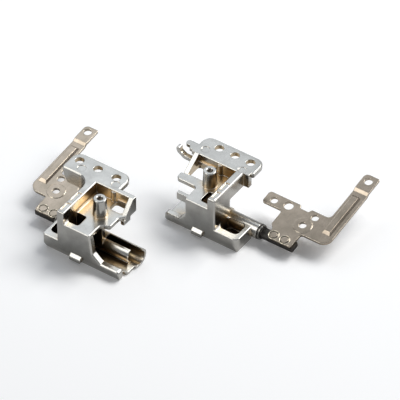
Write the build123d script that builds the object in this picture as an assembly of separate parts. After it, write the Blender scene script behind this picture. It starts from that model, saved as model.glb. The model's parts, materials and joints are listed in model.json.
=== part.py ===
from build123d import *
import os
from math import atan2, cos, hypot, pi, sin, tan

os.makedirs("parts", exist_ok=True)

# Sizes in millimetres. Both hinges lie barrel down, hinge axes along X, screw plates towards +Y.
# Each hinge is drawn with u along its axis: u = 0 is the outer face of the side wall,
# positive u runs into the casting and negative u runs out to the lid bracket.

# Barrel, shared by both hands
bore_radius = 1.9
stack_shoulder = 0.35
relief_radius = bore_radius + stack_shoulder
barrel_wall = 0.65
barrel_step = 0.5
barrel_lift = 0.1
axis_height = relief_radius + barrel_wall + barrel_lift

# Walls of the casting
base_thickness = 1.0
base_notch = 3.4
front_thickness = 1.9
side_thickness = 2.45
side_depth = 8.0
wall_thickness = 1.4
inner_wall_front = 6.6
overhang_bottom = 11.0
floor_top = 12.3
plate_top = 16.4
plate_thickness = 1.5
plate_corner = 3.0
screw_hole_radius = 1.4
mark_radius = 1.35
mark_depth = 0.15
recess_depth = 0.3
recess_margin = 0.55

# Front rail, its bevel, the ramp and the tapered foot of the front face
rail_top = 3.25
rail_nose = 1.0
rail_return = 1.0
bevel_height = 5.6
ramp_reach = 1.0
ramp_bottom = 0.7
ramp_nose = 1.7
ramp_top = 2.65
foot_height = 1.9
foot_inset = 0.6

# End block with its pocket
block_top = 5.0
block_depth = 7.9
pocket_front = 2.1
pocket_rear = 7.4
pocket_corner = 0.9
block_pocket_corner = 1.5

# Screw boss, and the rib and ledge on the wall behind it
boss_base_radius = 2.25
boss_top_radius = 1.95
boss_hole_radius = 0.8
boss_hole_depth = 5.0
boss_mouth = 0.25
rib_radius = 0.8
ledge_height = 0.6
ledge_reach = 0.5

# Edges of the casting: broken outer edges, rounded corners, filled roots,
# and how far one section runs into the next
cast_edge = 0.35
fine_edge = 0.2
cast_corner = 0.6
root_reach = 0.45
lap = 0.5

# Shaft, stack and washers, shared by both hands
journal_radius = 1.58
running_gap = 0.02
collar_radius = 1.95
collar_length = 0.45
spigot_radius = 1.1
spigot_flat = 0.85
spigot_tip = 0.4
blade_width = 3.2
blade_thickness = 1.4
blade_corner = 0.35
wear_inset = 0.1
wear_thickness = 0.45
thrust_lap = 0.4
thrust_thickness = 0.4
sleeve_bore = journal_radius + running_gap
sleeve_seat = 0.01
sleeve_slit = 0.4
sleeve_inset = 0.2
stack_gap = 0.15
stack_radius = relief_radius - stack_gap
friction_thickness = 0.5
spring_count = 3
spring_thickness = 0.25
spring_height = 0.5
spring_gap = 0.05
lock_thickness = 0.5
lock_inset = 0.1
nut_flats = 3.6
nut_thickness = 1.6

# Rivets, set flush in coined recesses of the sheet
rivet_count = 2
rivet_pitch = 3.85
rivet_radius = 0.8
rivet_head_radius = 1.15
rivet_proud = 0.05
rivet_tail_radius = 1.2
rivet_tail_height = 0.35
coin_radius = 1.42
coin_depth = 0.25

# Lid bracket sheet
sheet_thickness = 0.8
jog_height = 0.6
bead_height = 0.5
bead_corner = 1.1
bead_slope = 0.25
bead_wall = 0.5
ring_radius = 2.85
ring_height = 0.16
tip_hole_radius = 1.25
small_hole_radius = 1.13
big_hole_radius = 1.45

# Where the two hinges lie, from the left side wall corner to the right one
pair_offset_x = 35.6
pair_offset_y = 29.3

left = {
    "axis_y": 9.3, "tube_wall": 1.0, "tilt": 4.9, "rivet": 7.7, "blade_end": 13.7,
    "tube_end": -5.2, "tube_in": 2.0, "barrel_far": 23.3, "base_far": 22.6,
    "block_length": 5.2, "block_wall": 1.0, "block_corner": 0.8, "end_inset": 1.0,
    "wall_end": 11.6, "bevel_top": 12.6, "bevel_foot": 15.3, "rail_end": 22.1,
    "pocket_back": 16.8, "plate_near": -10.0, "plate_far": 9.9, "plate_back": 24.8,
    "plate_front": 16.8,
    "holes": [(-7.1, 21.7), (-0.5, 21.7), (6.1, 21.7)],
    "marks": [(-4.7, 19.3), (7.6, 19.2)],
    "recesses": [(1.2, 5.0), (6.2, 10.4)],
    "gusset": (14.1, 15.6), "gusset_front": 13.0, "boss": (8.6, 9.9), "boss_height": 6.2,
    "ramp": (5.0, 8.8), "window_a": (side_thickness, 6.4), "window_b": (9.4, 13.9, 13.2),
}
right = {
    "axis_y": 9.2, "tube_wall": 0.6, "tilt": 9.8, "rivet": 14.9, "blade_end": 22.3,
    "tube_end": -9.9, "tube_in": 1.5, "barrel_far": 7.5, "base_far": 17.8,
    "block_length": 8.0, "block_wall": 1.5, "block_corner": 1.7, "end_inset": 0.3,
    "wall_end": 10.5, "bevel_top": 10.5, "bevel_foot": 12.8, "rail_end": 17.8,
    "pocket_back": 14.7, "plate_near": -2.7, "plate_far": 18.2, "plate_back": 23.0,
    "plate_front": 16.2,
    "holes": [(0.9, 20.1), (6.45, 20.1), (12.0, 20.1)],
    "marks": [(15.1, 17.4), (1.1, 16.1)],
    "recesses": [(1.2, 4.4), (5.4, 9.1)],
    "gusset": (15.6, 17.1), "gusset_front": 9.0, "boss": (8.0, 9.3), "boss_height": 5.55,
    "ramp": (4.1, 7.7), "window_a": (side_thickness, 6.4), "window_b": (9.7, 15.6, 9.3),
}

# Floor outlines as (u, y, corner radius)
left["floor"] = [
    (lap, 0), (left["wall_end"], 0, 0.4), (left["wall_end"], 6.2, 1.0), (14.2, 6.9, 0.8),
    (14.2, 11.4, 0.6), (left["gusset"][1], left["gusset_front"], 0.4),
    (left["gusset"][1], left["pocket_back"] + lap), (lap, left["pocket_back"] + lap),
]
right["floor"] = [
    (lap, 0), (right["wall_end"], 0, 0.4), (right["wall_end"], 6.2, 1.2), (18.0, 6.2, 1.3),
    (18.0, right["gusset_front"], 1.3), (right["gusset"][1], right["gusset_front"]),
    (right["gusset"][1], right["pocket_back"] + lap), (lap, right["pocket_back"] + lap),
]

# Left hand only: the skirt under the plate, the lug under the gusset, and the barrel that is open
# along its far top, with a front lip that stops short
left["skirt_radius"] = 4.0
left["skirt_taper"] = 1.9
left["lug"] = [
    (left["gusset"][0], 12.0, 0.6), (left["gusset"][1], 12.0, 0.3), (left["gusset"][1], 15.2),
    (left["gusset"][0], 15.2),
]
left["lug_drop"] = 1.4
left["slot"] = (-0.95, 1.2)
left["lip_height"] = 2.35
left["lip_short"] = 2.8

# Right hand only: the stay under the plate, the lug beside it as (u, y, corner radius),
# the spring hook as (u, z, corner radius) and the web behind the bevel
right["stay"] = (1.75, 0.4, 2.0)
right["lug"] = [
    (17.0, 15.2), (19.6, 15.2, 0.5), (19.6, 16.3, 0.4), (21.6, 16.3, 0.7), (21.6, 18.2, 0.7),
    (17.0, 18.2),
]
right["lug_drop"] = 1.1
right["hook"] = [
    (16.6, 12.4), (20.6, 12.4, 1.8), (23.2, 14.2, 1.5), (23.2, 16.0, 0.4), (22.0, 16.0, 0.4),
    (22.0, 14.7, 0.8), (20.3, 13.6, 1.0), (16.6, 13.6),
]
right["hook_depth"] = (14.0, 15.5)
right["web"] = (10.2, 14.0, 0.9, 2.0)
right["web_drop"] = 2.5

# Lid bracket outlines as (u out from the first rivet, v out from the axis, corner radius)
left["sheet"] = [
    (-1.4, -1.5, 1.3), (5.9, -1.5, 0.6), (5.9, 4.5, 0.8), (12.4, 4.5, 3.0),
    (12.4, 34.0, 1.4), (8.0, 34.0, 0.4), (8.0, 14.2, 1.5), (4.3, 14.2, 0.6),
    (3.8, 13.0, 0.5), (1.2, 13.0, 0.5), (0.8, 14.2, 0.6), (-10.0, 14.2, 0.9),
    (-10.0, 9.8, 0.7), (-1.4, 9.8, 1.2),
]
left["sheet_holes"] = {
    "tip": (10.4, 31.9), "ring": (4.6, 7.6), "third": (6.3, 12.4), "tab": (-7.0, 12.0),
    "big": (-1.9, 12.1),
}
left["bead"] = (9.0, 11.7, 9.0, 24.9)
left["jog"] = (27.0, 28.0)
right["sheet"] = [
    (-1.7, -1.5, 1.4), (6.8, -1.5, 0.6), (6.9, 4.1, 0.8), (16.0, 4.1, 3.0),
    (16.0, 32.5, 0.4), (11.1, 32.5, 1.4), (11.1, 13.3, 1.5), (4.7, 13.3, 0.6),
    (4.2, 12.15, 0.5), (1.3, 12.15, 0.5), (0.9, 13.3, 0.4), (-10.1, 13.3, 0.9),
    (-10.1, 8.9, 0.7), (-2.9, 8.9, 1.2), (-2.9, 3.2, 0.5), (-1.7, 2.0, 0.5),
]
right["sheet_holes"] = {
    "tip": (13.5, 30.2), "ring": (5.5, 7.1), "third": (7.1, 11.3), "tab": (-7.07, 10.9),
    "big": (-2.2, 11.3),
}
right["bead"] = (11.9, 14.6, 8.2, 23.6)
right["jog"] = (25.6, 26.6)

# How far a cutting tool runs past the faces that it opens, the part of a side that one rounded
# corner may take, and the turn in radians below which a corner counts as straight
past = 1.0
corner_share = 0.49
straight = 0.01


def slab(x0, x1, y0, y1, z0, z1):
    return Pos((x0 + x1) / 2, (y0 + y1) / 2, (z0 + z1) / 2) * Box(x1 - x0, y1 - y0, z1 - z0)


def rod(x0, x1, y, z, radius):
    return Pos((x0 + x1) / 2, y, z) * Rot(0, 90, 0) * Cylinder(radius, x1 - x0)


def post(x, y, z0, z1, radius):
    return Pos(x, y, (z0 + z1) / 2) * Cylinder(radius, z1 - z0)


def outline(points):
    """A flat face whose corners are rounded by the radius given with each point."""
    corners = []
    count = len(points)
    for i in range(count):
        x, y = points[i][0], points[i][1]
        radius = points[i][2] if len(points[i]) > 2 else 0
        bx, by = points[i - 1][0] - x, points[i - 1][1] - y
        nx, ny = points[(i + 1) % count][0] - x, points[(i + 1) % count][1] - y
        before, after = atan2(by, bx), atan2(ny, nx)
        half = ((after - before) % (2 * pi)) / 2
        inner = half if half < pi / 2 else pi - half
        if radius <= 0 or abs(inner - pi / 2) < straight:
            corners.append([(x, y)])
            continue
        room = corner_share * min(hypot(bx, by), hypot(nx, ny))
        reach = min(radius / tan(inner), room)
        radius = reach * tan(inner)
        middle = before + half if half < pi / 2 else before + half + pi
        far = radius / sin(inner) - radius
        corners.append([
            (x + reach * cos(before), y + reach * sin(before)),
            (x + far * cos(middle), y + far * sin(middle)),
            (x + reach * cos(after), y + reach * sin(after)),
        ])
    edges = []
    for i in range(count):
        if len(corners[i]) == 3:
            edges.append(ThreePointArc(*corners[i]))
        edges.append(Line(corners[i][-1], corners[(i + 1) % count][0]))
    return make_face(edges)


def plan(points, z0, z1):
    return extrude(Pos(0, 0, z0) * outline(points), amount=z1 - z0, dir=(0, 0, 1))


def side(points, x0, x1):
    return extrude(Plane.YZ.offset(x0) * outline(points), amount=x1 - x0, dir=(1, 0, 0))


def front(points, y0, y1):
    return extrude(Plane.XZ.offset(-y0) * outline(points), amount=y1 - y0, dir=(0, 1, 0))


def soften(part, axis, last, reach):
    """Breaks the rim of the part's first or last face along an axis."""
    face = part.faces().sort_by(axis)[-1 if last else 0]
    return chamfer(face.edges(), reach)


def rounded_box(x0, x1, y0, y1, z0, z1, radius):
    return plan([(x0, y0, radius), (x1, y0, radius), (x1, y1, radius), (x0, y1, radius)], z0, z1)


def root(x, toward, z, y0, y1):
    """The filled root where an upright wall at x rises from a flat top at z."""
    inside = x - toward * lap
    foot = x + toward * root_reach
    points = [(inside, z - lap), (foot, z - lap), (foot, z), (x, z + root_reach), (inside, z + root_reach)]
    return front(points, y0, y1)


def end_block(h):
    """Block beside the side wall, with an open pocket and a tapered foot at its end."""
    near = -h["block_length"]
    foot = near + h["end_inset"]
    body = plan(
        [
            (near, 0, h["block_corner"]), (lap, 0), (lap, block_depth),
            (near, block_depth, cast_corner),
        ],
        0, block_top,
    )
    body = soften(body, Axis.Z, True, fine_edge)
    body += root(0, -1, block_top, cast_edge, pocket_rear)
    body -= rounded_box(
        near + h["block_wall"], 0, pocket_front, pocket_rear, base_thickness, block_top + past,
        block_pocket_corner,
    )
    body -= front(
        [(near - past, foot_height), (near, foot_height), (foot, 0), (foot, -past), (near - past, -past)],
        -past, block_depth + past,
    )
    return body


def front_wall(h):
    """Base, front wall with its bevel and rail, and the inner wall over the barrel."""
    end, axis = h["rail_end"], h["axis_y"]
    body = front(
        [
            (lap, 0), (end, 0, cast_corner), (end, rail_top, rail_nose),
            (h["bevel_foot"], rail_top, cast_corner), (h["bevel_top"], bevel_height, cast_corner),
            (h["wall_end"], floor_top, cast_corner), (lap, floor_top),
        ],
        0, front_thickness,
    )
    body = soften(body, Axis.Y, False, cast_edge)
    body += plan(
        [
            (0, lap), (end - rail_return, lap), (end - rail_return, base_notch),
            (h["base_far"], base_notch, cast_corner), (h["base_far"], axis), (0, axis),
        ],
        0, base_thickness,
    )
    body += slab(
        0, h["wall_end"], inner_wall_front, side_depth, axis_height, overhang_bottom + fine_edge
    )
    return body


def barrel(h):
    """Outer tube, stepped up where it holds the spring stack."""
    step = h["tube_in"] - barrel_step
    body = rod(h["tube_end"], step, h["axis_y"], axis_height, bore_radius + h["tube_wall"])
    return body + rod(step, h["barrel_far"], h["axis_y"], axis_height, relief_radius + barrel_wall)


def side_wall(h):
    """Upright beside the end block, with shallow recesses along its top."""
    outer = h["pocket_back"] + wall_thickness
    body = side(
        [
            (0, 0), (side_depth, 0), (side_depth, overhang_bottom, cast_corner),
            (outer, overhang_bottom), (outer, plate_top), (0, plate_top, cast_corner),
        ],
        0, side_thickness,
    )
    body = soften(body, Axis.X, False, cast_edge)
    for y0, y1 in h["recesses"]:
        body -= rounded_box(
            recess_margin, side_thickness - recess_margin, y0, y1,
            plate_top - recess_depth, plate_top + past, fine_edge,
        )
    return body


def pocket_floor(h):
    """Floor of the upper pocket with its two windows, its back wall and the sloped gusset."""
    back = h["pocket_back"]
    outer = back + wall_thickness
    g0, g1 = h["gusset"]
    body = soften(plan(h["floor"], overhang_bottom, floor_top), Axis.Z, True, fine_edge)
    body += root(side_thickness, 1, floor_top, cast_edge, back)
    cut = (overhang_bottom - past, floor_top + past, pocket_corner)
    body -= rounded_box(*h["window_a"], front_thickness, inner_wall_front, *cut)
    u0, u1, y0 = h["window_b"]
    body -= rounded_box(u0, u1, y0, back, *cut)
    body += slab(lap, g1, back, outer, overhang_bottom, plate_top)
    slope = h["gusset_front"]
    body += side(
        [
            (slope, overhang_bottom, lap), (outer, overhang_bottom), (outer, plate_top),
            (back, plate_top, lap), (slope, floor_top, lap),
        ],
        g0, g1,
    )
    return body


def screw_plate(h):
    """Flat plate with three screw holes."""
    near, far = h["plate_near"], h["plate_far"]
    low = plate_top - plate_thickness
    body = plan(
        [
            (near, h["plate_front"], cast_corner), (far, h["plate_front"]),
            (far, h["plate_back"], plate_corner), (near, h["plate_back"], plate_corner),
        ],
        low, plate_top,
    )
    body = soften(body, Axis.Z, True, cast_edge)
    body += slab(lap, far, h["pocket_back"], h["plate_front"] + lap, low, plate_top)
    for u, y in h["holes"]:
        body -= post(u, y, low - past, plate_top + past, screw_hole_radius)
    return body


def pocket_rim(h):
    """What the broken edges round the mouth of the upper pocket take away."""
    wall, back = side_thickness, h["pocket_back"]
    low, high = plate_top - fine_edge, plate_top + past
    along = front(
        [
            (wall, low), (wall - fine_edge, plate_top), (wall - fine_edge, high), (wall + past, high),
            (wall + past, low),
        ],
        -past, back,
    )
    across = side(
        [
            (back, low), (back + fine_edge, plate_top), (back + fine_edge, high), (back - past, high),
            (back - past, low),
        ],
        wall, h["gusset"][0],
    )
    return along + across


def screw_boss(h):
    """Tapered boss with a chamfered screw hole, and the rib and ledge on the wall behind it."""
    u, y = h["boss"]
    back = h["pocket_back"]
    top = floor_top + h["boss_height"]
    body = Pos(u, y, (floor_top - fine_edge + top) / 2) * Cone(
        boss_base_radius, boss_top_radius, h["boss_height"] + fine_edge
    )
    body = soften(body, Axis.Z, True, fine_edge)
    body -= post(u, y, top - boss_hole_depth, top + past, boss_hole_radius)
    body -= Pos(u, y, top) * Cone(
        boss_hole_radius, boss_hole_radius + 2 * boss_mouth, 2 * boss_mouth
    )
    body += post(u, back + fine_edge, floor_top - lap, plate_top - lap, rib_radius)
    low = floor_top + 2 * ledge_reach
    body += slab(
        u + 2 * rib_radius, h["gusset"][0] + lap, back - ledge_reach, back + lap,
        low, low + ledge_height,
    )
    return body


def ramp(h):
    """Small ramp low on the front face."""
    return side(
        [
            (lap, ramp_bottom), (-ramp_reach, ramp_bottom), (-ramp_reach, ramp_nose, cast_corner),
            (0, ramp_top), (lap, ramp_top),
        ],
        *h["ramp"],
    )


def casting(h):
    """What the two hands share: one die casting with a bore for the sleeve and the spring stack."""
    body = end_block(h) + front_wall(h) + side_wall(h)
    body -= side(
        [(-past, foot_height), (0, foot_height), (foot_inset, 0), (foot_inset, -past), (-past, -past)],
        -h["block_length"] - past, h["rail_end"] + past,
    )
    body += ramp(h)
    body += barrel(h) + pocket_floor(h) + screw_plate(h) + screw_boss(h)
    body -= pocket_rim(h)
    axis = h["axis_y"]
    body -= rod(h["tube_end"] - past, h["tube_in"], axis, axis_height, bore_radius)
    body -= rod(h["tube_in"], h["barrel_far"] + past, axis, axis_height, relief_radius)
    return body


def marked(h, body):
    """Sinks the two shallow round marks in the plate's top."""
    for u, y in h["marks"]:
        body -= post(u, y, plate_top - mark_depth, plate_top + past, mark_radius)
    return body


def left_casting(h):
    """Left hand: a swept skirt under the plate, and a barrel that is open along its far top."""
    back, near, sweep = h["pocket_back"], h["plate_near"], h["skirt_radius"]
    outer, foot = back + wall_thickness, near + h["skirt_taper"]
    low = plate_top - plate_thickness
    skirt = slab(near + cast_corner, lap, back, outer, overhang_bottom, plate_top)
    skirt += slab(-sweep, lap, back - sweep, back + lap, overhang_bottom, plate_top)
    skirt -= post(-sweep, back - sweep, overhang_bottom - past, plate_top + past, sweep)
    top = skirt.edges().group_by(Axis.Z)[-1]
    straight_rim = top.filter_by(Axis.X).sort_by(Axis.Y)[1]
    skirt = chamfer(top.filter_by(GeomType.CIRCLE) + [straight_rim], cast_edge)
    skirt -= front(
        [
            (near, low), (foot, overhang_bottom), (foot, overhang_bottom - past),
            (near - past, overhang_bottom - past), (near - past, low),
        ],
        back - sweep - past, outer + past,
    )
    body = casting(h) + skirt
    body += plan(h["lug"], overhang_bottom - h["lug_drop"], overhang_bottom + fine_edge)
    axis, end, far = h["axis_y"], h["wall_end"], h["barrel_far"]
    slot0, slot1 = h["slot"]
    crown = axis_height + relief_radius + barrel_wall + past
    body -= slab(end, far + past, axis + slot0, axis + slot1, axis_height, crown)
    body -= slab(
        end, far + past, front_thickness, axis + slot1, axis_height + h["lip_height"], crown
    )
    body -= slab(
        far - h["lip_short"], far + past, front_thickness, axis + slot1, base_thickness, crown
    )
    return marked(h, body)


def right_casting(h):
    """Right hand: a stay and a lug at the plate, a spring hook and a web behind the bevel."""
    back = h["pocket_back"]
    stay, stay_front, stay_back = h["stay"]
    body = casting(h)
    body += slab(
        -stay, lap, back + stay_front, back + stay_back, overhang_bottom + root_reach, plate_top
    )
    body += plan(h["lug"], plate_top - h["lug_drop"], plate_top)
    body += front(h["hook"], *h["hook_depth"])
    body += slab(*h["web"], floor_top - h["web_drop"], floor_top)
    return marked(h, body)


def blade_start(h):
    return h["tube_end"] - wear_thickness - running_gap - thrust_thickness


def stack_start(h):
    return h["tube_in"] + running_gap


def stack_end(h):
    springs = spring_count * spring_height
    return stack_start(h) + friction_thickness + springs + lock_thickness + nut_thickness


def rivet_places(h):
    return [-h["rivet"] - i * rivet_pitch for i in range(rivet_count)]


def shaft(h):
    """Round journal with a flat blade outside and a keyed spigot inside."""
    x0, x1 = -h["blade_end"], blade_start(h)
    x2, x3 = h["tube_in"], stack_end(h) + spigot_tip
    half = blade_width / 2
    body = plan(
        [(x0, -half, blade_corner), (x1, -half), (x1, half), (x0, half, blade_corner)],
        -blade_thickness / 2, blade_thickness / 2,
    )
    sheet_edge = -h["rivet"] - h["sheet"][0][0]
    body += rod(max(x1 - collar_length, sheet_edge + running_gap), x1, 0, 0, collar_radius)
    body += rod(x1, x2, 0, 0, journal_radius)
    body += rod(x2, x3, 0, 0, spigot_radius) & slab(
        x2, x3, -spigot_radius, spigot_radius, -spigot_flat, spigot_flat
    )
    for x in rivet_places(h):
        body -= post(x, 0, -blade_thickness, blade_thickness, rivet_radius)
    return body


def ring_part(x0, x1, outer, inner):
    return rod(x0, x1, 0, 0, outer) - rod(x0 - past, x1 + past, 0, 0, inner)


def sleeve(h):
    """Split sleeve that grips the journal in the bore."""
    x0, x1 = h["tube_end"] + sleeve_inset, h["tube_in"] - sleeve_inset
    half = sleeve_slit / 2
    body = ring_part(x0, x1, bore_radius - sleeve_seat, sleeve_bore)
    return body - slab(x0 - past, x1 + past, -half, half, 0, bore_radius + past)


def disc_spring(x0, flip):
    rise = spring_height - spring_thickness
    inner, outer = (rise, 0) if flip else (0, rise)
    hole = spigot_radius + spring_gap
    points = [
        (x0 + inner, hole), (x0 + inner + spring_thickness, hole),
        (x0 + outer + spring_thickness, stack_radius), (x0 + outer, stack_radius),
    ]
    return revolve(outline(points), Axis.X, 360)


def keyed_washer(x0, x1, outer):
    flat = spigot_flat + running_gap
    hole = rod(x0 - past, x1 + past, 0, 0, spigot_radius + running_gap) & slab(
        x0 - past, x1 + past, -outer, outer, -flat, flat
    )
    return rod(x0, x1, 0, 0, outer) - hole


def lock_nut(x0):
    hexagon = extrude(
        Plane.YZ.offset(x0) * RegularPolygon(nut_flats / 2, 6, major_radius=False),
        amount=nut_thickness, dir=(1, 0, 0),
    )
    return hexagon - rod(x0 - past, x0 + nut_thickness + past, 0, 0, spigot_radius + running_gap)


def lid_bracket(h):
    """Stamped sheet on the blade, with a raised bead, a ring around one hole and a stepped arm."""
    low = blade_thickness / 2
    top = low + sheet_thickness
    rivet = h["rivet"]
    jog0, jog1 = h["jog"]
    v_low = min(v for u, v, r in h["sheet"]) - past
    v_high = max(v for u, v, r in h["sheet"]) + past
    u_low = min(u for u, v, r in h["sheet"]) - past
    u_high = max(u for u, v, r in h["sheet"]) + past
    blank = plan(
        [(-rivet - u, v, r) for u, v, r in h["sheet"]], low - past, top + jog_height + past
    )
    sheet = side(
        [
            (v_low, low), (jog0, low), (jog1, low + jog_height), (v_high, low + jog_height),
            (v_high, top + jog_height), (jog1, top + jog_height), (jog0, top), (v_low, top),
        ],
        -rivet - u_high, -rivet - u_low,
    )
    body = blank & sheet
    u0, u1, v0, v1 = h["bead"]
    bead = rounded_box(
        -rivet - u1, -rivet - u0, v0, v1, top - fine_edge, top + bead_height, bead_corner
    )
    body += soften(bead, Axis.Z, True, bead_slope)
    body -= rounded_box(
        -rivet - u1 + bead_wall, -rivet - u0 - bead_wall, v0 + bead_wall, v1 - bead_wall,
        low - past, low + bead_height, bead_corner - bead_wall,
    )
    ru, rv = h["sheet_holes"]["ring"]
    body += post(-rivet - ru, rv, top - fine_edge, top + ring_height, ring_radius)
    body -= post(-rivet - ru, rv, low - past, low + ring_height, ring_radius - bead_wall)
    sizes = {
        "tip": tip_hole_radius, "ring": small_hole_radius, "third": small_hole_radius,
        "tab": small_hole_radius, "big": big_hole_radius,
    }
    above = top + jog_height + past
    for name, (u, v) in h["sheet_holes"].items():
        body -= post(-rivet - u, v, low - past, above, sizes[name])
    for x in rivet_places(h):
        body -= post(x, 0, low - past, above, rivet_radius)
        body -= post(x, 0, top - coin_depth, above, coin_radius)
    return body


def rivet_at(x):
    """Shank through blade and sheet, with a flush head in the coined recess and a spread tail."""
    top = blade_thickness / 2 + sheet_thickness
    seat, head = top - coin_depth, top + rivet_proud
    bottom = -blade_thickness / 2
    tail = bottom - rivet_tail_height
    profile = outline([
        (0, tail), (rivet_tail_radius, tail), (rivet_tail_radius, bottom), (rivet_radius, bottom),
        (rivet_radius, seat), (rivet_head_radius, seat), (rivet_head_radius, head), (0, head),
    ])
    return Pos(x, 0, 0) * revolve(Plane.XZ * profile, Axis.Z, 360)


def hinge_parts(h):
    """Everything that is fitted to one casting, drawn about the hinge axis."""
    wear_start = h["tube_end"] - wear_thickness
    thrust_end = wear_start - running_gap
    x = stack_start(h)
    parts = {
        "shaft": shaft(h),
        "lid_bracket": lid_bracket(h),
        "rivets": Compound([rivet_at(place) for place in rivet_places(h)]),
        "friction_sleeve": sleeve(h),
        "wear_washer": ring_part(
            wear_start, h["tube_end"], bore_radius + h["tube_wall"] - wear_inset,
            sleeve_bore + running_gap,
        ),
        "thrust_washer": ring_part(
            thrust_end - thrust_thickness, thrust_end, bore_radius + thrust_lap, sleeve_bore
        ),
        "friction_washer": keyed_washer(x, x + friction_thickness, stack_radius),
    }
    x += friction_thickness
    for i in range(spring_count):
        parts["disc_spring_" + str(i + 1)] = disc_spring(x, i % 2 == 1)
        x += spring_height
    parts["lock_washer"] = keyed_washer(x, x + lock_thickness, stack_radius - lock_inset)
    parts["lock_nut"] = lock_nut(x + lock_thickness)
    return parts


def turned(h, part):
    """A fitted part at its hinge axis, turned to the angle at which the bracket lies."""
    return Pos(0, h["axis_y"], axis_height) * Rot(h["tilt"], 0, 0) * part


def right_hand(part):
    """The right hinge is drawn from the other side and stands across the table."""
    return Pos(pair_offset_x, pair_offset_y, 0) * mirror(part, about=Plane.YZ)


hinges = {"left_housing": left_casting(left), "right_housing": right_hand(right_casting(right))}
for name, part in hinge_parts(left).items():
    hinges["left_" + name] = turned(left, part)
for name, part in hinge_parts(right).items():
    hinges["right_" + name] = right_hand(turned(right, part))

# The origin is the middle of the pair's bounding box, on the table
box = Compound(list(hinges.values())).bounding_box()
shift = Pos(-(box.min.X + box.max.X) / 2, -(box.min.Y + box.max.Y) / 2, -box.min.Z)
for name, part in hinges.items():
    export_step(shift * part, "parts/" + name + ".step")
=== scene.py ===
import json
import math

import bmesh
import bpy
from mathutils import Matrix, Vector


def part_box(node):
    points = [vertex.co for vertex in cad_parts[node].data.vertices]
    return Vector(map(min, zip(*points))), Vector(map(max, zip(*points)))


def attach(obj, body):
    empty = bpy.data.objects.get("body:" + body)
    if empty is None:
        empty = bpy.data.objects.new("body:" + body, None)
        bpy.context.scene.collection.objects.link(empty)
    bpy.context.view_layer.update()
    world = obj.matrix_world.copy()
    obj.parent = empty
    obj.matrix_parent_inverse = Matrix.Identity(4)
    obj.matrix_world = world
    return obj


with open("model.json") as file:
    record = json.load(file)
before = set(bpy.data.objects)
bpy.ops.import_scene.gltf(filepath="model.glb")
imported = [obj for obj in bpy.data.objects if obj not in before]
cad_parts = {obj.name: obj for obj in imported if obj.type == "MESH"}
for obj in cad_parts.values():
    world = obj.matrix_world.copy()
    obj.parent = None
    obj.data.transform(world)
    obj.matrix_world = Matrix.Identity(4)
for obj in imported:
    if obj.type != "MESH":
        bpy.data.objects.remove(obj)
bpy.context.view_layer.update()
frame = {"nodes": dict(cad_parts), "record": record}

mm = 0.001
hands = ("left", "right")
nodes = frame["nodes"]
mounts = {mount["name"]: mount for mount in frame["record"]["mounts"]}
hinges = {joint["name"]: joint for joint in frame["record"]["behaviour"]["joints"]}
print("frame loaded:", len(nodes), "nodes")


def linear(hexColour):  # sRGB hex to the linear values that shaders take
    parts = [int(hexColour[i:i + 2], 16) / 255 for i in (1, 3, 5)]
    curve = [c / 12.92 if c <= 0.04045 else ((c + 0.055) / 1.055) ** 2.4 for c in parts]
    return (*curve, 1.0)


# Settings are attributes, or socket values by name or number. Links join a socket to an input by
# its name, with _ for a space, or by its number, where i0 is the first.
def addNode(tree, kind, settings=None, **links):
    node = tree.nodes.new(kind)
    for name, value in (settings or {}).items():
        if hasattr(node, name):
            setattr(node, name, value)
        else:
            node.inputs[int(name) if name.isdigit() else name].default_value = value
    for name, socket in links.items():
        key = name.replace("_", " ")
        tree.links.new(socket, node.inputs[int(key[1:]) if key[1:].isdigit() else key])
    return node


# Materials

edgeSamples = 6  # rays that feel for an edge
openSamples = 8  # rays that feel for the open
cloudNoise = {"Detail": 4.0, "Roughness": 0.6}


def newMaterial(name):
    made = bpy.data.materials.new(name)
    made.use_nodes = True
    tree = made.node_tree
    tree.nodes.clear()
    shader = addNode(tree, "ShaderNodeBsdfPrincipled")
    addNode(tree, "ShaderNodeOutputMaterial", Surface=shader.outputs["BSDF"])
    return made, tree, shader


def objectPlace(tree):
    return addNode(tree, "ShaderNodeTexCoord").outputs["Object"]


def perMetre(sizeMm):  # texture scale for a feature of that size
    return 1.0 / (sizeMm * mm)


def noise(tree, place, scale, settings):
    return addNode(tree, "ShaderNodeTexNoise", {"Scale": scale, **settings}, Vector=place).outputs["Fac"]


def mapRange(tree, value, low, high, first, last):  # first to last, as the value goes from low to high
    ends = {"1": low, "2": high, "3": first, "4": last}
    return addNode(tree, "ShaderNodeMapRange", ends, Value=value).outputs["Result"]


def twoTone(tree, factor, deep, pale, low, high):  # blends two hex colours between two values of a pattern
    tone = addNode(tree, "ShaderNodeValToRGB", Fac=factor)
    for stop, position, colour in zip(tone.color_ramp.elements, (low, high), (deep, pale)):
        stop.position = position
        stop.color = linear(colour)
    return tone.outputs["Color"]


def overlay(tree, factor, under, colour):  # lays a hex colour over a pattern
    mixed = addNode(tree, "ShaderNodeMix", {"data_type": "RGBA", "7": linear(colour)}, i0=factor, i6=under)
    return mixed.outputs[2]


def roundedEdgeAndHighlight(tree, look):  # normals that turn over an edge, and how strongly a painted highlight lies along it
    settings = {"samples": edgeSamples, "Radius": look["edgeMm"] * mm}
    rounded = addNode(tree, "ShaderNodeBevel", settings).outputs["Normal"]
    flat = addNode(tree, "ShaderNodeNewGeometry").outputs["Normal"]
    facing = addNode(tree, "ShaderNodeVectorMath", {"operation": "DOT_PRODUCT"}, i0=rounded, i1=flat)
    # painted highlight: strongest where the rounded normal turns furthest from the face
    edgeHighlight = mapRange(
        tree, facing.outputs["Value"], look["edgeFrom"], look["edgeFull"], 0.0, look["edgeMost"],
    )
    return rounded, edgeHighlight


def openShare(tree, reachMm, alone):  # how much of the sky a point sees within that reach, 1 in the open
    settings = {"samples": openSamples, "only_local": alone, "Distance": reachMm * mm}
    return addNode(tree, "ShaderNodeAmbientOcclusion", settings).outputs["AO"]


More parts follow.
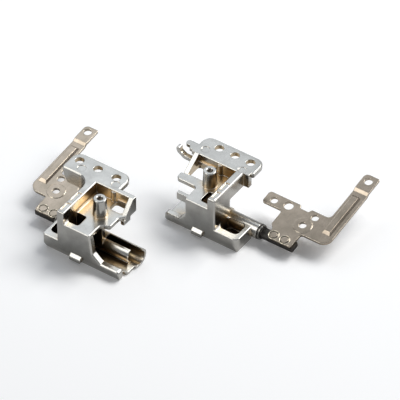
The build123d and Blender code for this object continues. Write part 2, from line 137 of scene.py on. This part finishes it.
def metalSurface(tree, shader, colour, rough, normal):
    shader.inputs["Metallic"].default_value = 1.0
    tree.links.new(colour, shader.inputs["Base Color"])
    tree.links.new(rough, shader.inputs["Roughness"])
    tree.links.new(normal, shader.inputs["Normal"])


castLook = {
    # the edge colour is a painted highlight
    "pale": "#a8a6a1", "deep": "#979590", "highlightTint": "#d6d3cc", "strike": "#c8af86", "paintedShade": "#2c2219",
    "cloudMm": 5.0, "cloudLow": 0.35, "cloudHigh": 0.65, "roughLow": 0.16, "roughHigh": 0.28,
    "grainMm": 0.45, "grainDepthMm": 0.004, "grainStrength": 0.5,
    "grainNoise": {"Detail": 3.0, "Roughness": 0.55},
    "edgeMm": 0.24, "edgeMost": 0.75, "edgeFrom": 0.995, "edgeFull": 0.86,
    "hollowMm": 12.0, "hollowOpen": 0.66, "hollowDeep": 0.46, "hollowMost": 0.95, "hollowRough": 0.32,
    # painted shade: where the darkest colour starts and stops, by how much sky a point sees
    "paintedShadeDeep": 0.10, "paintedShadeOpen": 0.46,
}


def castZinc():  # zinc die casting under satin nickel: grey, soft sheen, faint cloudy tarnish, painted highlights on edges
    made, tree, shader = newMaterial("satinNickelOnCastZinc")
    look, place = castLook, objectPlace(tree)
    cloud = noise(tree, place, perMetre(look["cloudMm"]), cloudNoise)
    # grain is drawn coarser than a cast skin leaves it, so that it shows
    grain = noise(tree, place, perMetre(look["grainMm"]), look["grainNoise"])
    # plating is thin in the hollows, where the copper strike under it shows through as a warm brown
    seen = openShare(tree, look["hollowMm"], True)
    hollow = mapRange(tree, seen, look["hollowOpen"], look["hollowDeep"], 0.0, look["hollowMost"])
    # painted shade: towards the deepest hollows the strike colour runs to a near black brown
    strikeAndShade = twoTone(tree, seen, look["paintedShade"], look["strike"], look["paintedShadeDeep"], look["paintedShadeOpen"])
    rounded, edgeHighlight = roundedEdgeAndHighlight(tree, look)
    colour = twoTone(tree, cloud, look["deep"], look["pale"], look["cloudLow"], look["cloudHigh"])
    colour = addNode(tree, "ShaderNodeMix", {"data_type": "RGBA"}, i0=hollow, i6=colour, i7=strikeAndShade).outputs[2]
    # painted highlight: a pale colour laid over the edges
    colour = overlay(tree, edgeHighlight, colour, look["highlightTint"])
    satin = mapRange(tree, cloud, 0.0, 1.0, look["roughLow"], look["roughHigh"])
    rough = addNode(tree, "ShaderNodeMix", {"3": look["hollowRough"]}, i0=hollow, i2=satin).outputs[0]
    bump = addNode(
        tree, "ShaderNodeBump", {"Strength": look["grainStrength"], "Distance": look["grainDepthMm"] * mm},
        Height=grain, Normal=rounded,
    )
    metalSurface(tree, shader, colour, rough, bump.outputs["Normal"])
    return made


sheetLook = {
    "pale": "#9c9082", "deep": "#887e70", "highlightTint": "#e2d9c6", "toneLow": 0.5, "toneHigh": 0.9,
    "streakMm": 0.3, "streakLongMm": 9.0, "streakShare": 0.4, "streakDepthMm": 0.001, "streakStrength": 0.4,
    "streakNoise": {"Detail": 3.0, "Roughness": 0.6},
    "cloudMm": 4.0, "roughLow": 0.18, "roughHigh": 0.28,
    "edgeMm": 0.32, "edgeMost": 0.8, "edgeFrom": 0.94, "edgeFull": 0.76,
    # painted shade for the grooves round the rivets
    "paintedShade": "#2e2820", "paintedShadeMm": 0.6, "paintedShadeOpen": 0.62, "paintedShadeDeep": 0.30, "paintedShadeMost": 0.95,
}


# Rolled steel sheet under warm nickel: tan cast, faint streaks along the roll, painted highlights on the
# edges
def rolledSheet():
    made, tree, shader = newMaterial("warmNickelOnRolledSteel")
    look, place = sheetLook, objectPlace(tree)
    across, along = perMetre(look["streakMm"]), perMetre(look["streakLongMm"])
    # streaks are drawn three times as wide as rolling leaves them, so that they show
    stretched = addNode(tree, "ShaderNodeMapping", {"Scale": (across, along, across)}, Vector=place)
    streak = noise(tree, stretched.outputs["Vector"], 1.0, look["streakNoise"])
    cloud = noise(tree, place, perMetre(look["cloudMm"]), cloudNoise)
    both = addNode(
        tree, "ShaderNodeMath", {"operation": "MULTIPLY_ADD", "1": look["streakShare"]}, i0=streak, i2=cloud,
    )
    rounded, edgeHighlight = roundedEdgeAndHighlight(tree, look)
    # painted shade darkens the narrow grooves round the rivets
    seen = openShare(tree, look["paintedShadeMm"], False)
    grooveShade = mapRange(tree, seen, look["paintedShadeOpen"], look["paintedShadeDeep"], 0.0, look["paintedShadeMost"])
    colour = twoTone(
        tree, both.outputs["Value"], look["deep"], look["pale"], look["toneLow"], look["toneHigh"],
    )
    # painted highlight: a pale colour laid over the edges
    colour = overlay(tree, edgeHighlight, colour, look["highlightTint"])
    # painted shade laid into the grooves
    colour = overlay(tree, grooveShade, colour, look["paintedShade"])
    rough = mapRange(tree, streak, 0.0, 1.0, look["roughLow"], look["roughHigh"])
    bump = addNode(
        tree, "ShaderNodeBump", {"Strength": look["streakStrength"], "Distance": look["streakDepthMm"] * mm},
        Height=streak, Normal=rounded,
    )
    metalSurface(tree, shader, colour, rough, bump.outputs["Normal"])
    return made


steelLook = {
    "edgeMm": 0.1, "edgeMost": 0.5, "edgeFrom": 0.995, "edgeFull": 0.86, "toneLow": 0.3, "toneHigh": 0.7,
}


def plainSteel(name, pale, deep, mottleMm, roughLow, roughHigh):  # mottled tone, painted highlights on the edges
    made, tree, shader = newMaterial(name)
    look = steelLook
    cloud = noise(tree, objectPlace(tree), perMetre(mottleMm), cloudNoise)
    rounded, edgeHighlight = roundedEdgeAndHighlight(tree, look)
    colour = twoTone(tree, cloud, deep, pale, look["toneLow"], look["toneHigh"])
    # painted highlight: the pale tone laid over the edges
    colour = overlay(tree, edgeHighlight, colour, pale)
    rough = mapRange(tree, cloud, 0.0, 1.0, roughLow, roughHigh)
    metalSurface(tree, shader, colour, rough, rounded)
    return made


zinc = castZinc()
sheet = rolledSheet()
# near black, with a dull sheen
blackOxide = plainSteel("blackOxideSteel", "#4a4743", "#2b2927", 0.8, 0.30, 0.50)
# pale and clean, with a clear sheen
brightSteel = plainSteel("groundSteel", "#c9c8c4", "#a9a7a2", 0.5, 0.18, 0.32)
# mid grey, darkened by oil
oiledSteel = plainSteel("oiledSteel", "#8d8a84", "#6c6a65", 0.5, 0.22, 0.36)
# brownish grey from tempering
springSteel = plainSteel("temperedSpringSteel", "#7c7468", "#5d574e", 0.6, 0.25, 0.40)
# warm and bright: the sheet's nickel painted lighter, as a highlight on the rivet lips
highlightNickel = plainSteel("paintedHighlightNickel", "#dcd2be", "#c4b9a4", 0.6, 0.16, 0.26)

finish = {
    "housing": zinc, "lid_bracket": sheet, "rivets": sheet, "shaft": blackOxide,
    "wear_washer": blackOxide, "thrust_washer": oiledSteel, "friction_sleeve": springSteel,
    "friction_washer": brightSteel, "disc_spring_1": springSteel, "disc_spring_2": springSteel,
    "disc_spring_3": springSteel, "lock_washer": brightSteel, "lock_nut": brightSteel,
}
for name, obj in nodes.items():
    obj.data.materials.clear()
    obj.data.materials.append(finish[name.split("_", 1)[1]])
print("materials set on", len(nodes), "nodes")


# Fine pieces on the nodes

def newTree(name, inputs):  # geometry tree that starts from points and has these named sizes
    tree = bpy.data.node_groups.new(name, "GeometryNodeTree")
    tree.interface.new_socket("Points", in_out="INPUT", socket_type="NodeSocketGeometry")
    for label in inputs:
        tree.interface.new_socket(label, in_out="INPUT", socket_type="NodeSocketFloat")
    tree.interface.new_socket("Geometry", in_out="OUTPUT", socket_type="NodeSocketGeometry")
    return tree, addNode(tree, "NodeGroupInput").outputs


def repeatOnPoints(tree, points, shape, material):  # one smooth copy at each point, as real faces
    smooth = addNode(tree, "GeometryNodeSetShadeSmooth", Geometry=shape).outputs["Geometry"]
    copies = addNode(tree, "GeometryNodeInstanceOnPoints", Points=points, Instance=smooth)
    real = addNode(tree, "GeometryNodeRealizeInstances", Geometry=copies.outputs["Instances"])
    coated = addNode(
        tree, "GeometryNodeSetMaterial", {"Material": material}, Geometry=real.outputs["Geometry"],
    )
    addNode(tree, "NodeGroupOutput", Geometry=coated.outputs["Geometry"])


def grow(name, tree, points, sizes):  # runs a tree on the points and keeps what it makes as a plain mesh
    seed = bpy.data.meshes.new(name)
    seed.from_pydata(points, [], [])
    piece = bpy.data.objects.new(name, seed)
    bpy.context.scene.collection.objects.link(piece)
    maker = piece.modifiers.new(name, "NODES")
    maker.node_group = tree
    for item in tree.interface.items_tree:
        if item.in_out == "INPUT" and item.name in sizes:
            maker[item.identifier] = sizes[item.name]
    ready = piece.evaluated_get(bpy.context.evaluated_depsgraph_get())
    made = bpy.data.meshes.new_from_object(ready)
    piece.modifiers.clear()
    piece.data = made
    made.name = name
    return piece


sheetTopMm = 1.5  # upper face of a bracket above its hinge axis


def lidFrame(hand):  # hinge axis of one bracket, turned so that its sheet is level
    through = mounts[hand + "_lid_hole_ring"]["axis"]  # square to the sheet
    tilt = math.atan2(through[1], -through[2])
    return Matrix.Translation(hinges[hand + "_lid_hinge"]["pos_m"]) @ Matrix.Rotation(tilt, 4, "X")


# tailMm is the way from either end of a rivet pair to the middle of the rivet there
rivetLook = {
    "lipMm": 1.55, "ridgeMm": 0.14, "sunkMm": 0.06, "tailMm": 1.2, "ringSteps": 48, "ridgeSteps": 12,
}


def lipTree(look):  # low round ridge of sheet that each rivet pushes up round its recess
    tree, given = newTree("rivetLips", ("Lip radius", "Ridge radius"))
    circle = "GeometryNodeCurvePrimitiveCircle"
    ring = addNode(tree, circle, {"Resolution": look["ringSteps"]}, Radius=given["Lip radius"])
    ridge = addNode(tree, circle, {"Resolution": look["ridgeSteps"]}, Radius=given["Ridge radius"])
    tube = addNode(
        tree, "GeometryNodeCurveToMesh",
        Curve=ring.outputs["Curve"], Profile_Curve=ridge.outputs["Curve"],
    )
    # the lips take the lighter nickel, a painted highlight
    repeatOnPoints(tree, given["Points"], tube.outputs["Mesh"], highlightNickel)
    return tree


def rivetLips():
    look = rivetLook
    tree = lipTree(look)
    sizes = {"Lip radius": look["lipMm"] * mm, "Ridge radius": look["ridgeMm"] * mm}
    height = (sheetTopMm - look["sunkMm"]) * mm
    reach = look["tailMm"] * mm
    for hand in hands:
        place = lidFrame(hand)
        low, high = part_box(hand + "_rivets")
        points = [(x - place.translation.x, 0, height) for x in (low[0] + reach, high[0] - reach)]
        piece = grow(hand + "RivetLips", tree, points, sizes)
        piece.data.transform(place)
        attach(piece, hand + "_lid")


# Pressed bead along each arm, measured from the bracket's ring hole: outwards to the middle of
# the bead, and along the arm to its two ends
beadLook = {
    "left": {"outMm": -5.75, "startMm": 1.4, "endMm": 17.3},
    "right": {"outMm": 7.75, "startMm": 1.1, "endMm": 16.5},
    "topHalfMm": 1.02, "highMm": 0.80, "sunkMm": 0.1, "insetMm": 0.3,
    "flankAngle": 57.0, "frontAngle": 38.0, "backAngle": 45.0,
    "softMm": 0.1, "softSteps": 3, "softProfile": 0.5,
}


def pressedBeads():  # crown of the bead: a flat top, steep long flanks and a sloped front end
    look = beadLook
    top, base = (sheetTopMm + look["highMm"]) * mm, (sheetTopMm - look["sunkMm"]) * mm
    run = {}
    for side in ("flank", "front", "back"):
        run[side] = (top - base) / math.tan(math.radians(look[side + "Angle"]))
    for hand in hands:
        place = lidFrame(hand)
        ring = place.inverted() @ Vector(mounts[hand + "_lid_hole_ring"]["pos_m"])
        middle, half = ring.x + look[hand]["outMm"] * mm, look["topHalfMm"] * mm
        start = ring.y + (look[hand]["startMm"] + look["insetMm"]) * mm
        end = ring.y + (look[hand]["endMm"] - look["insetMm"]) * mm
        shape = bmesh.new()
        loops = []
        for z, wide, front, back in (
            (base, half + run["flank"], start - run["front"], end + run["back"]), (top, half, start, end),
        ):
            corners = ((-wide, front), (wide, front), (wide, back), (-wide, back))
            loops.append([shape.verts.new((middle + x, y, z)) for x, y in corners])
        lower, upper = loops
        for i in range(len(lower)):
            j = (i + 1) % len(lower)
            shape.faces.new((lower[i], lower[j], upper[j], upper[i]))
        shape.faces.new(upper)
        shape.faces.new(lower[::-1])
        bmesh.ops.bevel(
            shape, geom=shape.edges[:], offset=look["softMm"] * mm, segments=look["softSteps"],
            profile=look["softProfile"], affect="EDGES",
        )
        bmesh.ops.recalc_face_normals(shape, faces=shape.faces[:])
        mesh = bpy.data.meshes.new(hand + "PressedBead")
        shape.to_mesh(mesh)
        shape.free()
        mesh.transform(place)
        mesh.materials.append(sheet)
        piece = bpy.data.objects.new(hand + "PressedBead", mesh)
        bpy.context.scene.collection.objects.link(piece)
        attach(piece, hand + "_lid")


# wallShareMm is how far the middle of the ridge lies in the wall
threadLook = {
    "pitchMm": 0.4, "ridgeMm": 0.13, "wallShareMm": 0.05, "mouthMm": 0.6, "turnSteps": 24, "ridgeSteps": 6,
}


def threadTree(look):  # rolled thread as one ridge that winds up the wall of a hole
    tree, given = newTree("bossThread", ("Wall radius", "Pitch", "Length", "Ridge radius"))
    turns = addNode(tree, "ShaderNodeMath", {"operation": "DIVIDE"}, i0=given["Length"], i1=given["Pitch"])
    helix = addNode(
        tree, "GeometryNodeCurveSpiral", {"Resolution": look["turnSteps"]}, Rotations=turns.outputs["Value"],
        Start_Radius=given["Wall radius"], End_Radius=given["Wall radius"], Height=given["Length"],
    )
    ridge = addNode(
        tree, "GeometryNodeCurvePrimitiveCircle", {"Resolution": look["ridgeSteps"]},
        Radius=given["Ridge radius"],
    )
    thread = addNode(
        tree, "GeometryNodeCurveToMesh", {"Fill Caps": True},
        Curve=helix.outputs["Curve"], Profile_Curve=ridge.outputs["Curve"],
    )
    repeatOnPoints(tree, given["Points"], thread.outputs["Mesh"], zinc)
    return tree


def bossThreads():
    look = threadLook
    holes = [mounts[hand + "_boss_thread"] for hand in hands]
    deep = holes[0]["dims"]["length_mm"] * mm
    down = Vector((0, 0, deep / 2 - look["ridgeMm"] * mm))
    points = [tuple(Vector(hole["pos_m"]) - down) for hole in holes]
    sizes = {
        "Wall radius": (holes[0]["dims"]["r_mm"] + look["wallShareMm"]) * mm,
        "Pitch": look["pitchMm"] * mm,
        "Length": deep - (look["mouthMm"] + look["ridgeMm"]) * mm,
        "Ridge radius": look["ridgeMm"] * mm,
    }
    piece = grow("bossThreads", threadTree(look), points, sizes)
    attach(piece, "housings")


rivetLips()
pressedBeads()
bossThreads()
print("rivet lips, beads and boss threads made")


# Floor, light and camera

stageLook = {
    "floorColour": "#fcfcfc", "floorGlow": "#ffffff", "floorLift": 0.12, "floorMm": 3000.0,
    "floorRough": 0.9, "floorSheen": 0.2,
    "azimuth": 34.7, "elevation": 42.5, "lensMm": 500.0, "frameMm": 117.6, "aim": (1.4, 3.2, 5.0),
    "clipNearMm": 10.0, "clipFarMm": 20000.0,
    "worldColour": "#eef2f8", "worldStrength": 0.13, "worldLift": 0.40,
}

# Softboxes round the table: turn from +Y towards -X and rise, in degrees, distance and size in
# millimetres, colour, how bright the panel itself looks, and whether a card keeps it off the paper
softboxes = {
    "keySoftbox": {
        "turn": 142.0, "rise": 48.0, "away": 1500.0, "wide": 770.0, "high": 940.0,
        "tint": "#fffefb", "glow": 3.4, "flagged": True,
    },
    "backSoftbox": {
        "turn": 58.0, "rise": 43.0, "away": 440.0, "wide": 340.0, "high": 270.0,
        "tint": "#eef6ff", "glow": 1.5, "flagged": False,
    },
    "rimSoftbox": {
        "turn": -45.0, "rise": 36.0, "away": 1500.0, "wide": 928.0, "high": 570.0,
        "tint": "#ffffff", "glow": 3.4, "flagged": False,
    },
    "topSoftbox": {
        "turn": -15.0, "rise": 49.0, "away": 1500.0, "wide": 1020.0, "high": 620.0,
        "tint": "#ffffff", "glow": 8.6, "flagged": False,
    },
}


def whenSeen(tree, base, lift):  # that base strength, raised where a surface is looked at or mirrored
    ray = addNode(tree, "ShaderNodeLightPath").outputs
    either = {"operation": "MAXIMUM"}
    seen = addNode(tree, "ShaderNodeMath", either, i0=ray["Is Camera Ray"], i1=ray["Is Glossy Ray"])
    seen = addNode(
        tree, "ShaderNodeMath", either, i0=seen.outputs["Value"], i1=ray["Is Transmission Ray"],
    )
    raised = {"operation": "MULTIPLY_ADD", "1": lift, "2": base}
    return addNode(tree, "ShaderNodeMath", raised, i0=seen.outputs["Value"]).outputs["Value"]


def buildFloor():  # white paper, lifted only where it is looked at or mirrored, so the shadows stay
    half = stageLook["floorMm"] * mm / 2
    mesh = bpy.data.meshes.new("studioFloor")
    corners = [(-half, -half, 0), (half, -half, 0), (half, half, 0), (-half, half, 0)]
    mesh.from_pydata(corners, [], [(0, 1, 2, 3)])
    floor = bpy.data.objects.new("studioFloor", mesh)
    bpy.context.scene.collection.objects.link(floor)
    made, tree, shader = newMaterial("whiteStudioPaper")
    tree.links.new(whenSeen(tree, 0.0, stageLook["floorLift"]), shader.inputs["Emission Strength"])
    shader.inputs["Emission Color"].default_value = linear(stageLook["floorGlow"])
    shader.inputs["Base Color"].default_value = linear(stageLook["floorColour"])
    shader.inputs["Roughness"].default_value = stageLook["floorRough"]
    shader.inputs["Specular IOR Level"].default_value = stageLook["floorSheen"]
    mesh.materials.append(made)
    return floor


def softbox(name, look, floor):
    turn, rise = math.radians(look["turn"]), math.radians(look["rise"])
    towards = Vector((-math.sin(turn) * math.cos(rise), math.cos(turn) * math.cos(rise), math.sin(rise)))
    lamp = bpy.data.lights.new(name, "AREA")
    lamp.shape = "RECTANGLE"
    lamp.size, lamp.size_y = look["wide"] * mm, look["high"] * mm
    lamp.color = linear(look["tint"])[:3]
    lamp.energy = look["glow"] * math.pi * lamp.size * lamp.size_y
    panel = bpy.data.objects.new(name, lamp)
    panel.location = towards * look["away"] * mm
    panel.rotation_euler = towards.to_track_quat("Z", "Y").to_euler()
    bpy.context.scene.collection.objects.link(panel)
    if look["flagged"]:  # so that it throws no second shadow
        shaded = bpy.data.collections.new(name + "Flag")
        shaded.objects.link(floor)
        panel.light_linking.receiver_collection = shaded
        shaded.collection_objects[0].light_linking.link_state = "EXCLUDE"


def buildLight(floor):
    world = bpy.data.worlds.new("studio")
    world.use_nodes = True
    tree = world.node_tree
    tree.nodes.clear()
    sky = addNode(
        tree, "ShaderNodeBackground", {"Color": linear(stageLook["worldColour"])},
        Strength=whenSeen(tree, stageLook["worldStrength"], stageLook["worldLift"]),
    )
    addNode(tree, "ShaderNodeOutputWorld", Surface=sky.outputs["Background"])
    bpy.context.scene.world = world
    for name, look in softboxes.items():
        softbox(name, look, floor)


def buildCamera():
    a, e = math.radians(stageLook["azimuth"]), math.radians(stageLook["elevation"])
    back = Vector((math.sin(a) * math.cos(e), -math.cos(a) * math.cos(e), math.sin(e)))
    lens = bpy.data.cameras.new("photoCamera")
    lens.lens = stageLook["lensMm"]
    distance = stageLook["lensMm"] / lens.sensor_width * stageLook["frameMm"]
    camera = bpy.data.objects.new("photoCamera", lens)
    camera.location = (Vector(stageLook["aim"]) + back * distance) * mm
    camera.rotation_euler = (-back).to_track_quat("-Z", "Y").to_euler()
    lens.clip_start = stageLook["clipNearMm"] * mm
    lens.clip_end = stageLook["clipFarMm"] * mm
    bpy.context.scene.collection.objects.link(camera)
    bpy.context.scene.camera = camera


floor = buildFloor()
buildLight(floor)
buildCamera()
bpy.context.scene.view_settings.view_transform = "Standard"
print("stage ready")
